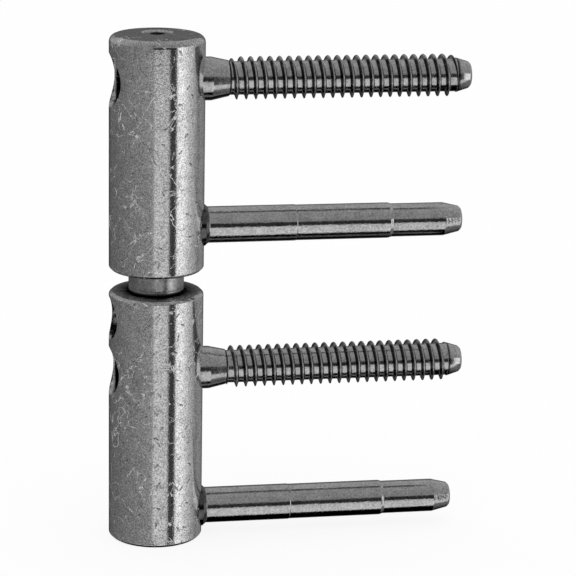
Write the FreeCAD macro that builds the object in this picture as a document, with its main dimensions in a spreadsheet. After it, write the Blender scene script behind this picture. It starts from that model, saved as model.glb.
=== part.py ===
# Drill-in hinge: two round knuckles, each with a threaded stem and a guide pin that go into
# drilled holes, on a hinge pin with a bearing sleeve. Millimetres, +Z up, stems along +X.
# The origin is on the frame guide pin's axis, where the pin's plain shank leaves its collar.
import FreeCAD, Part
import math
import os
import Sketcher
from FreeCAD import Placement, Rotation, Vector

doc = FreeCAD.newDocument("drill_in_hinge")

# The driving dimensions: alias, millimetres, meaning. Stations along a stem, the ones that end
# in _at, are measured from the hinge axis.
SIZES = [
    ("barrel_dia", 20.0, "outside of both knuckles"),
    ("frame_screw_down", 17.4, "frame screw stem below the frame knuckle's upper end"),
    ("leaf_screw_down", 7.85, "leaf screw stem below the end of the leaf knuckle's straight side"),
    ("knuckle_gap", 4.8, "between the two knuckles, filled by the sleeve's collar"),
    ("rim_chamfer", 0.6, "flat ends of the knuckles"),
    ("crown_round", 1.5, "rounding between the leaf knuckle's side and its coned end"),
    ("crown_rise", 0.73, "middle of the coned end above its rounding"),
    ("frame_pin_up", 5.8, "frame guide pin above the frame knuckle's lower end"),
    ("leaf_pin_up", 9.15, "leaf guide pin above the leaf knuckle's lower end"),
    ("stem_spacing", 31.2, "screw stem above guide pin, both knuckles"),
    ("running_gap", 0.05, "radial, between pieces that turn or slide on each other"),
    ("press_gap", 0.02, "radial, between pieces held fast in each other"),
    ("face_gap", 0.02, "grease film on each face of the sleeve's collar"),
    ("end_gap", 0.15, "free space at the ends of dogs and lock screws"),
    ("screw_shank_dia", 9.1, "screw stem's plain shank"),
    ("screw_neck_dia", 7.5, "screw stem at the end of its cone"),
    ("thread_core_dia", 6.95, "root of the thread"),
    ("thread_crest_dia", 9.0, "crest of the thread"),
    ("thread_pitch", 2.042, "advance in one turn, right-handed"),
    ("thread_turns", 24, "whole turns of the thread"),
    ("thread_flats", 14, "flats that each turn is drawn with"),
    ("fade_flats", 10, "flats over which the ridge rises and sinks at its ends"),
    ("ridge_at", 14.56, "start of the ridge"),
    ("leaf_screw_set", 270, "degrees that the leaf screw stem stands turned, right-handed about +X"),
    ("frame_screw_set", 140, "the same for the frame screw stem"),
    ("ridge_base", 0.95, "width of the thread's ridge at the core"),
    ("core_shoulder", 0.05, "turned end before the thread, over the core's radius"),
    ("core_slim", 0.3, "turned stem below the core's radius, where the thread covers it"),
    ("screw_tail", 5.0, "from the hinge axis to the screw stem's socket end"),
    ("screw_cone_at", 11.2, "start of the cone"),
    ("screw_neck_at", 14.85, "end of the cone"),
    ("neck_step", 0.25, "from the end of the cone to the core"),
    ("thread_run", 0.1, "core drawn past each end of the ridge"),
    ("screw_tip_at", 63.25, "start of the tip's cone"),
    ("screw_tip_dia_in", 7.3, "large end of the tip's cone"),
    ("screw_cone_len", 3.2, "from the start of the tip's cone to the tip"),
    ("screw_tip_dia", 5.7, "small end of the tip's cone"),
    ("tip_corner", 0.5, "bevel at the stem tips"),
    ("tail_chamfer", 0.4, "socket end of the screw stem"),
    ("stem_groove_dia", 6.4, "bottom of the screw stem's locking groove"),
    ("dog_dia", 3.0, "dog points of the lock screw and the hinge pin"),
    ("dog_play", 0.15, "either side of a dog in its groove"),
    ("stem_key_size", 5.0, "hex socket of the screw stems, across flats"),
    ("stem_key_depth", 4.0, "hex socket of the screw stems"),
    ("hole_chamfer", 0.4, "countersinks of the cross holes and of the stem lock screw's hole"),
    ("leaf_mouth_dia", 11.4, "wider mouth of the leaf stem hole on the key's side"),
    ("frame_mouth_dia", 10.6, "wider mouth of the frame stem hole on the key's side"),
    ("mouth_land", 0.1, "mouth's floor below where its sides leave the barrel"),
    ("cut_past", 1.0, "how far the drawn cuts run past the outside"),
    ("guide_dia", 7.7, "guide pin from its collar to the small shoulder"),
    ("guide_mid_dia", 7.55, "guide pin from the small shoulder to the step"),
    ("guide_tip_dia", 7.1, "guide pin beyond the step"),
    ("guide_point_dia", 5.5, "small end of the guide pin's cone"),
    ("step_length", 0.7, "length of the step's slope"),
    ("frame_shoulder_at", 29.1, "small shoulder of the frame guide pin"),
    ("leaf_shoulder_at", 29.5, "small shoulder of the leaf guide pin"),
    ("frame_step_at", 49.25, "step of the frame guide pin"),
    ("leaf_step_at", 49.55, "step of the leaf guide pin"),
    ("frame_guide_reach", 64.95, "tip of the frame guide pin"),
    ("leaf_guide_reach", 65.45, "tip of the leaf guide pin"),
    ("guide_cone_len", 3.9, "from the start of the guide pin's cone to its tip"),
    ("collar_dia", 9.0, "guide pin's collar"),
    ("collar_stand", 0.8, "collar's front beyond the knuckle's outside"),
    ("collar_flare", 0.75, "length of the collar's sloping front"),
    ("collar_seat", 1.3, "collar's back below the knuckle's outside"),
    ("spigot_dia", 6.5, "guide pin inside the knuckle"),
    ("spigot_web", 0.25, "left between a guide pin's spigot and the leaf knuckle's bore"),
    ("hinge_pin_dia", 8.0, "hinge pin"),
    ("seat_web", 1.2, "wall between the hinge pin's seat and the frame screw's hole"),
    ("bore_web", 2.15, "wall between the leaf knuckle's bore and its screw stem's hole"),
    ("pin_headroom", 1.4, "from the hinge pin's top to the end of the bore"),
    ("pin_chamfer", 0.8, "hinge pin's upper end"),
    ("sleeve_dia", 10.0, "bearing sleeve inside the leaf knuckle"),
    ("sleeve_down", 1.6, "top of the sleeve below the hinge pin's top"),
    ("sleeve_collar_dia", 11.7, "collar in the gap"),
    ("collar_edge", 0.35, "bevels of the sleeve's collar"),
    ("stem_lock_dia", 6.0, "lock screw in the coned end"),
    ("stem_lock_sink", 0.55, "its face below the middle of the crown"),
    ("stem_lock_key", 3.0, "its hex socket, across flats"),
    ("stem_lock_key_depth", 2.4, "its hex socket"),
    ("pin_lock_dia", 8.0, "pin lock screw"),
    ("pin_lock_key", 4.0, "its hex socket, across flats"),
    ("pin_lock_key_depth", 2.0, "its hex socket"),
    ("pin_lock_mouth_dia", 9.4, "wider mouth of its hole"),
    ("pin_lock_mouth", 2.4, "depth of the mouth from the knuckle's outside"),
    ("lock_chamfer", 0.4, "ends of both lock screws"),
]

# Places in the part's own frame, worked out from the sizes.
BARREL_R = "Dims.barrel_dia / 2"
HINGE_X = "-Dims.barrel_dia / 2 - Dims.collar_stand"
FRAME_FOOT_Z = "-Dims.frame_pin_up"
FRAME_TOP_Z = "Dims.stem_spacing + Dims.frame_screw_down"
LEAF_FOOT_Z = f"{FRAME_TOP_Z} + Dims.knuckle_gap"
LEAF_PIN_Z = f"{LEAF_FOOT_Z} + Dims.leaf_pin_up"
LEAF_SCREW_Z = f"{LEAF_PIN_Z} + Dims.stem_spacing"

# Heights above a knuckle's own lower end.
FRAME_SCREW_UP = "Dims.frame_pin_up + Dims.stem_spacing"
FRAME_LEN = f"{FRAME_SCREW_UP} + Dims.frame_screw_down"
LEAF_SCREW_UP = "Dims.leaf_pin_up + Dims.stem_spacing"
LEAF_LEN = f"{LEAF_SCREW_UP} + Dims.leaf_screw_down"
CROWN_R = f"{BARREL_R} - Dims.crown_round"
CROWN_TOP_UP = f"{LEAF_LEN} + Dims.crown_round + Dims.crown_rise"
STEM_HOLE_R = "Dims.screw_shank_dia / 2 + Dims.running_gap"
GROOVE_R = "Dims.stem_groove_dia / 2"
SEAT_DEPTH = f"Dims.frame_screw_down - ({STEM_HOLE_R}) - Dims.seat_web"
BORE_END = f"{LEAF_SCREW_UP} - ({STEM_HOLE_R}) - Dims.bore_web"
SPIGOT_END = "Dims.sleeve_dia / 2 + Dims.running_gap + Dims.spigot_web"

# Height of the hinge pin above the frame knuckle's upper end.
PIN_TOP = f"Dims.knuckle_gap + {BORE_END} - Dims.pin_headroom"

# Stations along a screw stem.
CORE_FROM = "Dims.screw_neck_at + Dims.neck_step"
RIDGE_END = "Dims.ridge_at + Dims.thread_turns * Dims.thread_pitch"


def make_sheet():
    sheet = doc.addObject("Spreadsheet::Sheet", "Dims")
    for row, (alias, size, meaning) in enumerate(SIZES, start=1):
        sheet.set(f"A{row}", alias)
        sheet.set(f"B{row}", str(size))
        sheet.set(f"C{row}", meaning)
        sheet.setAlias(f"B{row}", alias)
    doc.recompute()
    return sheet


sheet = make_sheet()


def number(expression):
    return float(sheet.evalExpression(expression))


pieces = []


def new_body(name):
    body = doc.addObject("PartDesign::Body", name)
    body.Label = name
    return body


def place(piece, height, turn=Rotation()):
    # Every piece is drawn about the hinge axis and then set at its height in the part's frame.
    piece.Placement = Placement(Vector(0, 0, 0), turn)
    piece.setExpression(".Placement.Base.x", HINGE_X)
    piece.setExpression(".Placement.Base.z", height)
    pieces.append(piece)


def origin_plane(body, role):
    return next(plane for plane in body.Origin.OriginFeatures if plane.Role == role)


def fix_point(sketch, edge, x, y):
    # Ties the start of a sketch line to its two expressions, or to an axis where one is zero.
    for kind, axis, distance in (("DistanceX", -2, x), ("DistanceY", -1, y)):
        if distance == "0":
            sketch.addConstraint(Sketcher.Constraint("PointOnObject", edge, 1, axis))
            continue
        size = number(distance)
        ends = (-1, 1, edge, 1) if size >= 0 else (edge, 1, -1, 1)
        index = sketch.addConstraint(Sketcher.Constraint(kind, *ends, abs(size)))
        sketch.setExpression(f"Constraints[{index}]", distance if size >= 0 else f"-({distance})")


def outline(body, name, points, plane="XZ_Plane", offset=("0", "0", "0")):
    # A closed sketch of straight lines through the points, each a pair of expressions.
    sketch = body.newObject("Sketcher::SketchObject", name)
    sketch.AttachmentSupport = [(origin_plane(body, plane), "")]
    sketch.MapMode = "FlatFace"
    for letter, distance in zip("xyz", offset):
        if distance != "0":
            sketch.setExpression(f".AttachmentOffset.Base.{letter}", distance)
    corners = [Vector(number(x), number(y), 0) for x, y in points]
    for corner, following in zip(corners, corners[1:] + corners[:1]):
        sketch.addGeometry(Part.LineSegment(corner, following), False)
    for edge, (x, y) in enumerate(points):
        following = (edge + 1) % len(points)
        sketch.addConstraint(Sketcher.Constraint("Coincident", edge, 2, following, 1))
        fix_point(sketch, edge, x, y)
    doc.recompute()
    return sketch


def turned(body, name, points, axis="H_Axis", cut=False, height="0"):
    # A full turn of the outline about one of its axes, added to the body or cut from it.
    profile = outline(body, f"{name}_profile", points, offset=("0", height, "0"))
    before = body.Shape.Volume if cut else 0
    feature = body.newObject("PartDesign::Groove" if cut else "PartDesign::Revolution", name)
    feature.Profile = profile
    feature.ReferenceAxis = (profile, [axis])
    feature.Angle = 360
    finish_feature(body, feature, before, cut)
    return feature


def finish_feature(body, feature, before, cut):
    body.Tip = feature
    doc.recompute()
    if cut and feature.Shape.Volume >= before:
        raise ValueError(f"{feature.Name} cut nothing")
    if not cut and feature.Shape.Volume <= before:
        raise ValueError(f"{feature.Name} added nothing")


def hex_socket(body, name, across_flats, depth, plane, face, into_plus):
    # A hexagonal pocket from the plane at that distance, towards plus or minus its normal.
    side = f"{across_flats} / 2"
    corner = f"{across_flats} / sqrt(3)"
    half = f"{across_flats} / sqrt(12)"
    points = [(corner, "0"), (half, side), (f"-({half})", side), (f"-({corner})", "0")]
    points += [(f"-({half})", f"-({side})"), (half, f"-({side})")]
    profile = outline(body, f"{name}_profile", points, plane=plane, offset=("0", "0", face))
    before = body.Shape.Volume
    pocket = body.newObject("PartDesign::Pocket", name)
    pocket.Profile = profile
    pocket.setExpression("Length", depth)
    pocket.Reversed = into_plus
    finish_feature(body, pocket, before, cut=True)


def through_hole(body, name, height, mouth_dia):
    # The hole for a screw stem, right through the knuckle, with a wider mouth for the key on
    # one side and a countersink on the other.
    key_side = f"-({BARREL_R})"
    mouth_r = f"{mouth_dia} / 2"
    floor = f"-sqrt(({BARREL_R}) ^ 2 - ({mouth_r}) ^ 2) + Dims.mouth_land"
    points = [
        (f"{key_side} - Dims.cut_past", "0"),
        (f"{key_side} - Dims.cut_past", mouth_r),
        (floor, mouth_r),
        (floor, STEM_HOLE_R),
        (f"{BARREL_R} - Dims.hole_chamfer", STEM_HOLE_R),
        (f"{BARREL_R} + Dims.cut_past", f"{STEM_HOLE_R} + Dims.hole_chamfer + Dims.cut_past"),
        (f"{BARREL_R} + Dims.cut_past", "0"),
    ]
    turned(body, name, points, cut=True, height=height)


def guide_seat(body, name, height):
    # The spot-faced hole that takes a guide pin's collar and spigot.
    seat = f"{BARREL_R} - Dims.collar_seat"
    bottom = f"{SPIGOT_END} - Dims.press_gap"
    mouth = f"{BARREL_R} + Dims.collar_stand"
    collar_r = "Dims.collar_dia / 2 + Dims.press_gap"
    spigot_r = "Dims.spigot_dia / 2 + Dims.press_gap"
    points = [(mouth, "0"), (mouth, collar_r), (seat, collar_r)]
    points += [(seat, spigot_r), (bottom, spigot_r), (bottom, "0")]
    turned(body, name, points, cut=True, height=height)


def make_frame_knuckle():
    body = new_body("frame_knuckle")
    length = FRAME_LEN
    inner = f"{BARREL_R} - Dims.rim_chamfer"
    barrel = [("0", "0"), (inner, "0"), (BARREL_R, "Dims.rim_chamfer")]
    barrel += [(BARREL_R, f"{length} - Dims.rim_chamfer"), (inner, length), ("0", length)]
    turned(body, "barrel", barrel, axis="V_Axis")
    through_hole(body, "stem_hole", FRAME_SCREW_UP, "Dims.frame_mouth_dia")
    seat_r = "Dims.hinge_pin_dia / 2 + Dims.press_gap"
    dog_r = "Dims.dog_dia / 2 + Dims.press_gap"
    seat_floor = f"{length} - ({SEAT_DEPTH}) - Dims.press_gap"
    pin_seat = [("0", FRAME_SCREW_UP), (dog_r, FRAME_SCREW_UP), (dog_r, seat_floor)]
    pin_seat += [(seat_r, seat_floor), (seat_r, length), ("0", length)]
    turned(body, "hinge_pin_seat", pin_seat, axis="V_Axis", cut=True)
    guide_seat(body, "guide_pin_seat", "Dims.frame_pin_up")
    mouth_r = "Dims.pin_lock_mouth_dia / 2"
    screw_r = "Dims.pin_lock_dia / 2 + Dims.press_gap"
    mouth_end = f"-({BARREL_R}) + Dims.pin_lock_mouth"
    outside = f"-({BARREL_R})"
    lock_hole = [
        ("0", "0"),
        (f"{outside} - Dims.cut_past", "0"),
        (f"{outside} - Dims.cut_past", mouth_r),
        (mouth_end, mouth_r),
        (mouth_end, screw_r),
        ("0", screw_r),
    ]
    turned(body, "pin_lock_hole", lock_hole, cut=True, height=f"{length} - ({SEAT_DEPTH}) / 2")
    place(body, FRAME_FOOT_Z)


def round_corner(height):
    # Two points on the quarter circle between the leaf knuckle's side and its coned end.
    points = []
    for angle in (30, 60):
        across = f"{CROWN_R} + Dims.crown_round * cos({angle} deg)"
        points.append((across, f"{height} + Dims.crown_round * sin({angle} deg)"))
    return points


def make_leaf_knuckle():
    body = new_body("leaf_knuckle")
    length = LEAF_LEN
    barrel = [
        ("0", "0"),
        (f"{BARREL_R} - Dims.rim_chamfer", "0"),
        (BARREL_R, "Dims.rim_chamfer"),
        (BARREL_R, length),
        *round_corner(length),
        (CROWN_R, f"{length} + Dims.crown_round"),
        ("0", CROWN_TOP_UP),
    ]
    turned(body, "barrel", barrel, axis="V_Axis")
    through_hole(body, "stem_hole", LEAF_SCREW_UP, "Dims.leaf_mouth_dia")
    bore_r = "Dims.sleeve_dia / 2 + Dims.running_gap"
    bore = [("0", "0"), (bore_r, "0"), (bore_r, BORE_END), ("0", BORE_END)]
    turned(body, "bearing_bore", bore, axis="V_Axis", cut=True)
    guide_seat(body, "guide_pin_seat", "Dims.leaf_pin_up")
    lock_r = "Dims.stem_lock_dia / 2 + Dims.press_gap"
    edge_up = f"{CROWN_TOP_UP} - Dims.crown_rise * ({lock_r}) / ({CROWN_R})"
    above = f"{edge_up} + Dims.cut_past"
    lock_hole = [("0", LEAF_SCREW_UP), (lock_r, LEAF_SCREW_UP)]
    lock_hole += [(lock_r, f"{edge_up} - Dims.hole_chamfer")]
    lock_hole += [(f"{lock_r} + Dims.hole_chamfer + Dims.cut_past", above), ("0", above)]
    turned(body, "stem_lock_hole", lock_hole, axis="V_Axis", cut=True)
    place(body, LEAF_FOOT_Z)


def make_guide_pin(name, height, shoulder, step, reach):
    body = new_body(name)
    back = f"{BARREL_R} - Dims.collar_seat + Dims.press_gap"
    front = f"{BARREL_R} + Dims.collar_stand"
    collar_r = "Dims.collar_dia / 2"
    root_r = "Dims.guide_dia / 2"
    mid_r = "Dims.guide_mid_dia / 2"
    tip_r = "Dims.guide_tip_dia / 2"
    point_r = "Dims.guide_point_dia / 2"
    points = [
        (SPIGOT_END, "0"),
        (SPIGOT_END, "Dims.spigot_dia / 2"),
        (back, "Dims.spigot_dia / 2"),
        (back, collar_r),
        (f"{front} - Dims.collar_flare", collar_r),
        (front, root_r),
        (shoulder, root_r),
        (shoulder, mid_r),
        (step, mid_r),
        (f"{step} + Dims.step_length", tip_r),
        (f"{reach} - Dims.guide_cone_len", tip_r),
        (f"{reach} - Dims.tip_corner", point_r),
        (reach, f"{point_r} - Dims.tip_corner"),
        (reach, "0"),
    ]
    turned(body, "turned_pin", points)
    place(body, height)


def helix_points(radius, shift, growth):
    # Points on a helix about the X axis, one at each flat's edge. growth holds, for each point,
    # how much of the ridge has come up there, which scales the shift from the ridge's middle
    # and the height over the core.
    core_r = number("Dims.thread_core_dia / 2")
    flats = int(number("Dims.thread_flats"))
    start = number("Dims.ridge_at")
    pitch = number("Dims.thread_pitch")
    points = []
    for step, grown in enumerate(growth):
        angle = 2 * math.pi * step / flats
        height = core_r + (radius - core_r) * grown
        along = start + pitch * step / flats + shift * grown
        points.append(Vector(along, height * math.cos(angle), height * math.sin(angle)))
    return points


def ring_points(along):
    # The corners of the core's section at that station.
    radius = number("Dims.thread_core_dia / 2")
    flats = int(number("Dims.thread_flats"))
    angles = [2 * math.pi * step / flats for step in range(flats)]
    return [Vector(along, radius * math.cos(a), radius * math.sin(a)) for a in angles]


def flat_face(*corners):
    # One flat between the corners, or none where fewer than three differ.
    same_place = 1e-7
    kept = [c for i, c in enumerate(corners) if not c.isEqual(corners[i - 1], same_place)]
    if len(kept) < 3:
        return []
    return [Part.Face(Part.makePolygon(kept + kept[:1]))]


def thread_solid():
    # A right-handed ridge with a sharp crest round a core, drawn with flats. The ridge rises
    # from the core in its first turn and sinks back into it in its last.
    flats = int(number("Dims.thread_flats"))
    turns = int(number("Dims.thread_turns"))
    last = flats * turns
    fade = number("Dims.fade_flats")
    growth = [min(1, step / fade, (last - step) / fade) for step in range(last + 1)]
    core_r = number("Dims.thread_core_dia / 2")
    half_base = number("Dims.ridge_base / 2")
    near = helix_points(core_r, -half_base, growth)
    crest = helix_points(number("Dims.thread_crest_dia / 2"), 0, growth)
    far = helix_points(core_r, half_base, growth)
    faces = []
    for step in range(last):
        faces += flat_face(near[step], near[step + 1], crest[step + 1])
        faces += flat_face(near[step], crest[step + 1], crest[step])
        faces += flat_face(crest[step], crest[step + 1], far[step + 1])
        faces += flat_face(crest[step], far[step + 1], far[step])
    for step in range(last - flats):
        beyond = step + flats
        faces += flat_face(far[step], far[step + 1], near[beyond + 1], near[beyond])
    first_ring = ring_points(number("Dims.ridge_at - Dims.thread_run"))
    last_ring = ring_points(number(f"{RIDGE_END} + Dims.thread_run"))
    for step in range(flats):
        after = (step + 1) % flats
        closing = [near[0]] if after == 0 else []
        faces += flat_face(first_ring[step], first_ring[after], *closing, near[step + 1], near[step])
        turn_step = last - flats + step
        opening = [near[last]] if step == 0 else []
        faces += flat_face(last_ring[after], last_ring[step], *opening, far[turn_step],
                           far[turn_step + 1])
    faces += flat_face(*first_ring)
    faces += flat_face(*last_ring)
    shell = Part.Shell(faces)
    shell.sewShape()
    return Part.makeSolid(shell)


def make_screw_stem(name, height, set_angle, thread):
    # The turned stem is slimmer than the core under the thread, which is fused over it.
    body = new_body(f"{name}_turned")
    shank_r = "Dims.screw_shank_dia / 2"
    half_groove = "Dims.dog_dia / 2 + Dims.dog_play"
    end_r = "Dims.thread_core_dia / 2 + Dims.core_shoulder"
    slim_r = "Dims.thread_core_dia / 2 - Dims.core_slim"
    tip_r = "Dims.screw_tip_dia / 2"
    reach = "Dims.screw_tip_at + Dims.screw_cone_len"
    points = [
        ("-Dims.screw_tail", "0"),
        ("-Dims.screw_tail", f"{shank_r} - Dims.tail_chamfer"),
        ("-Dims.screw_tail + Dims.tail_chamfer", shank_r),
        (f"-({half_groove})", shank_r),
        (f"-({half_groove})", GROOVE_R),
        (half_groove, GROOVE_R),
        (half_groove, shank_r),
        ("Dims.screw_cone_at", shank_r),
        ("Dims.screw_neck_at", "Dims.screw_neck_dia / 2"),
        (CORE_FROM, end_r),
        (CORE_FROM, slim_r),
        ("Dims.screw_tip_at", slim_r),
        ("Dims.screw_tip_at", "Dims.screw_tip_dia_in / 2"),
        (f"{reach} - Dims.tip_corner", tip_r),
        (reach, f"{tip_r} - Dims.tip_corner"),
        (reach, "0"),
    ]
    turned(body, "turned_stem", points)
    hex_socket(body, "key_socket", "Dims.stem_key_size", "Dims.stem_key_depth",
               "YZ_Plane", "-Dims.screw_tail", into_plus=True)
    ridge = doc.addObject("Part::Feature", f"{name}_thread")
    ridge.Shape = thread
    stem = doc.addObject("Part::Fuse", name)
    stem.Base = body
    stem.Tool = ridge
    stem.Refine = False
    stem.Label = name
    place(stem, height, turn=Rotation(Vector(1, 0, 0), number(set_angle)))


def make_hinge_pin():
    # Measured from the frame knuckle's upper end.
    body = new_body("hinge_pin")
    radius = "Dims.hinge_pin_dia / 2"
    dog_r = "Dims.dog_dia / 2"
    seat = f"-({SEAT_DEPTH})"
    dog_end = f"{GROOVE_R} + Dims.end_gap - Dims.frame_screw_down"
    points = [
        ("0", dog_end),
        (dog_r, dog_end),
        (dog_r, seat),
        (radius, seat),
        (radius, f"{PIN_TOP} - Dims.pin_chamfer"),
        (f"{radius} - Dims.pin_chamfer", PIN_TOP),
        ("0", PIN_TOP),
    ]
    turned(body, "turned_pin", points, axis="V_Axis")
    place(body, FRAME_TOP_Z)


def make_bearing_sleeve():
    # Measured from the frame knuckle's upper end.
    body = new_body("bearing_sleeve")
    bore_r = "Dims.hinge_pin_dia / 2 + Dims.running_gap"
    sleeve_r = "Dims.sleeve_dia / 2"
    collar_r = "Dims.sleeve_collar_dia / 2"
    foot = "Dims.face_gap"
    shoulder = "Dims.knuckle_gap - Dims.face_gap"
    top = f"{PIN_TOP} - Dims.sleeve_down"
    points = [
        (bore_r, foot),
        (f"{collar_r} - Dims.collar_edge", foot),
        (collar_r, f"{foot} + Dims.collar_edge"),
        (collar_r, shoulder),
        (sleeve_r, shoulder),
        (sleeve_r, f"{top} - Dims.collar_edge"),
        (f"{sleeve_r} - Dims.collar_edge", top),
        (bore_r, top),
    ]
    turned(body, "turned_sleeve", points, axis="V_Axis")
    place(body, FRAME_TOP_Z)


def make_stem_lock_screw():
    # Measured from the leaf screw stem's axis, upwards, with the dog down.
    body = new_body("stem_lock_screw")
    radius = "Dims.stem_lock_dia / 2"
    dog_r = "Dims.dog_dia / 2"
    dog_end = f"{GROOVE_R} + Dims.end_gap"
    shoulder = "Dims.screw_shank_dia / 2 + Dims.end_gap"
    face = f"{CROWN_TOP_UP} - Dims.stem_lock_sink - ({LEAF_SCREW_UP})"
    points = [
        ("0", dog_end),
        (dog_r, dog_end),
        (dog_r, shoulder),
        (radius, shoulder),
        (radius, f"{face} - Dims.lock_chamfer"),
        (f"{radius} - Dims.lock_chamfer", face),
        ("0", face),
    ]
    turned(body, "turned_screw", points, axis="V_Axis")
    hex_socket(body, "key_socket", "Dims.stem_lock_key", "Dims.stem_lock_key_depth",
               "XY_Plane", face, into_plus=False)
    place(body, LEAF_SCREW_Z)


def make_pin_lock_screw():
    # Measured from the hinge axis, outwards to the key's side, with its flat end on the pin.
    body = new_body("pin_lock_screw")
    radius = "Dims.pin_lock_dia / 2"
    flat = "Dims.hinge_pin_dia / 2 + Dims.press_gap"
    face = f"{BARREL_R} - Dims.pin_lock_mouth"
    points = [
        ("0", flat),
        (f"{radius} - Dims.lock_chamfer", flat),
        (radius, f"{flat} + Dims.lock_chamfer"),
        (radius, f"{face} - Dims.lock_chamfer"),
        (f"{radius} - Dims.lock_chamfer", face),
        ("0", face),
    ]
    turned(body, "turned_screw", points, axis="V_Axis")
    hex_socket(body, "key_socket", "Dims.pin_lock_key", "Dims.pin_lock_key_depth",
               "XY_Plane", face, into_plus=False)
    place(body, f"{FRAME_TOP_Z} - ({SEAT_DEPTH}) / 2", turn=Rotation(Vector(0, 1, 0), -90))


make_frame_knuckle()
make_leaf_knuckle()
make_guide_pin("frame_guide_pin", "0", "Dims.frame_shoulder_at", "Dims.frame_step_at",
               "Dims.frame_guide_reach")
make_guide_pin("leaf_guide_pin", LEAF_PIN_Z, "Dims.leaf_shoulder_at", "Dims.leaf_step_at",
               "Dims.leaf_guide_reach")
thread = thread_solid()
make_screw_stem("frame_screw_stem", "Dims.stem_spacing", "Dims.frame_screw_set", thread)
make_screw_stem("leaf_screw_stem", LEAF_SCREW_Z, "Dims.leaf_screw_set", thread)
make_hinge_pin()
make_bearing_sleeve()
make_stem_lock_screw()
make_pin_lock_screw()
doc.recompute()

for item in doc.Objects:
    if "Invalid" in item.State or "Error" in item.State:
        raise ValueError(f"{item.Name} failed: {item.State}")

os.makedirs("parts", exist_ok=True)
for piece in pieces:
    shape = piece.Shape
    if shape.isNull() or not shape.isValid() or len(shape.Solids) != 1:
        raise ValueError(f"{piece.Label} has no valid solid")
    shape.exportStep(os.path.join("parts", f"{piece.Label}.step"))
    box = shape.BoundBox
    print(f"{piece.Label}: {shape.Volume:.1f} mm3, x {box.XMin:.2f} {box.XMax:.2f},"
          f" y {box.YMin:.2f} {box.YMax:.2f}, z {box.ZMin:.2f} {box.ZMax:.2f}")
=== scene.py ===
# Drill-in hinge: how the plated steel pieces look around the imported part.
# Metres in the scene; the pieces are drawn in millimetres about the hinge axis and then placed.
import math

import bmesh
import bpy
from mathutils import Matrix, Vector


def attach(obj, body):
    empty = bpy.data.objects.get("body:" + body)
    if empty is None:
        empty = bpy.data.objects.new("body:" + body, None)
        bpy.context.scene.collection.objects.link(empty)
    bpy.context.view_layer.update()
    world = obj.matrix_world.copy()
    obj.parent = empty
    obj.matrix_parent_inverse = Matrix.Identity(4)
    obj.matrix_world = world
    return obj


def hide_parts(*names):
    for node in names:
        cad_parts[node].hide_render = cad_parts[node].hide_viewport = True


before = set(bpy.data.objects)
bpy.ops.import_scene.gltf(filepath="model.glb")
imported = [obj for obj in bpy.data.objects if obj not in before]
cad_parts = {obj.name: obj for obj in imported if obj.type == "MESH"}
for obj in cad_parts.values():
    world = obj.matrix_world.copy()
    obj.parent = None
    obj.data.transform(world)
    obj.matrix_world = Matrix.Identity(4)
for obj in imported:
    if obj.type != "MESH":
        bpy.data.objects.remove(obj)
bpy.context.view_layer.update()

mm = 0.001
barrelRadius = 10.0  # of both knuckles

# Heights of the pieces' own zero in the part's frame, and the hinge axis.
heights = {
    "hingeX": -10.8,
    "frameFoot": -5.8,
    "framePin": 0.0,
    "frameScrew": 31.2,
    "frameTop": 48.6,
    "pinLock": 42.8,
    "leafFoot": 53.4,
    "leafPin": 62.55,
    "leafScrew": 93.75,
}


def linear(code):
    # an sRGB hex code as the linear colour that the shaders mix
    parts = [int(code[i:i + 2], 16) / 255 for i in (1, 3, 5)]
    return tuple(p / 12.92 if p <= 0.04045 else ((p + 0.055) / 1.055) ** 2.4 for p in parts) + (1,)


def addNode(tree, kind, values=None, **settings):
    # values are plain numbers or the socket that feeds the input
    node = tree.nodes.new(kind)
    for name, setting in settings.items():
        setattr(node, name, setting)
    for name, value in (values or {}).items():
        if isinstance(value, bpy.types.NodeSocket):
            tree.links.new(value, node.inputs[name])
        else:
            node.inputs[name].default_value = value
    return node


def setRamp(node, stops, easing="LINEAR"):
    # grey levels at their places along the ramp
    ramp = node.color_ramp
    ramp.interpolation = easing
    while len(ramp.elements) < len(stops):
        ramp.elements.new(0.5)
    for element, (position, level) in zip(ramp.elements, stops):
        element.position = position
        element.color = (level, level, level, 1)


def newTree(name):
    material = bpy.data.materials.new(name)
    material.use_nodes = True
    material.node_tree.nodes.clear()
    return material, material.node_tree


print("materials")

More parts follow.
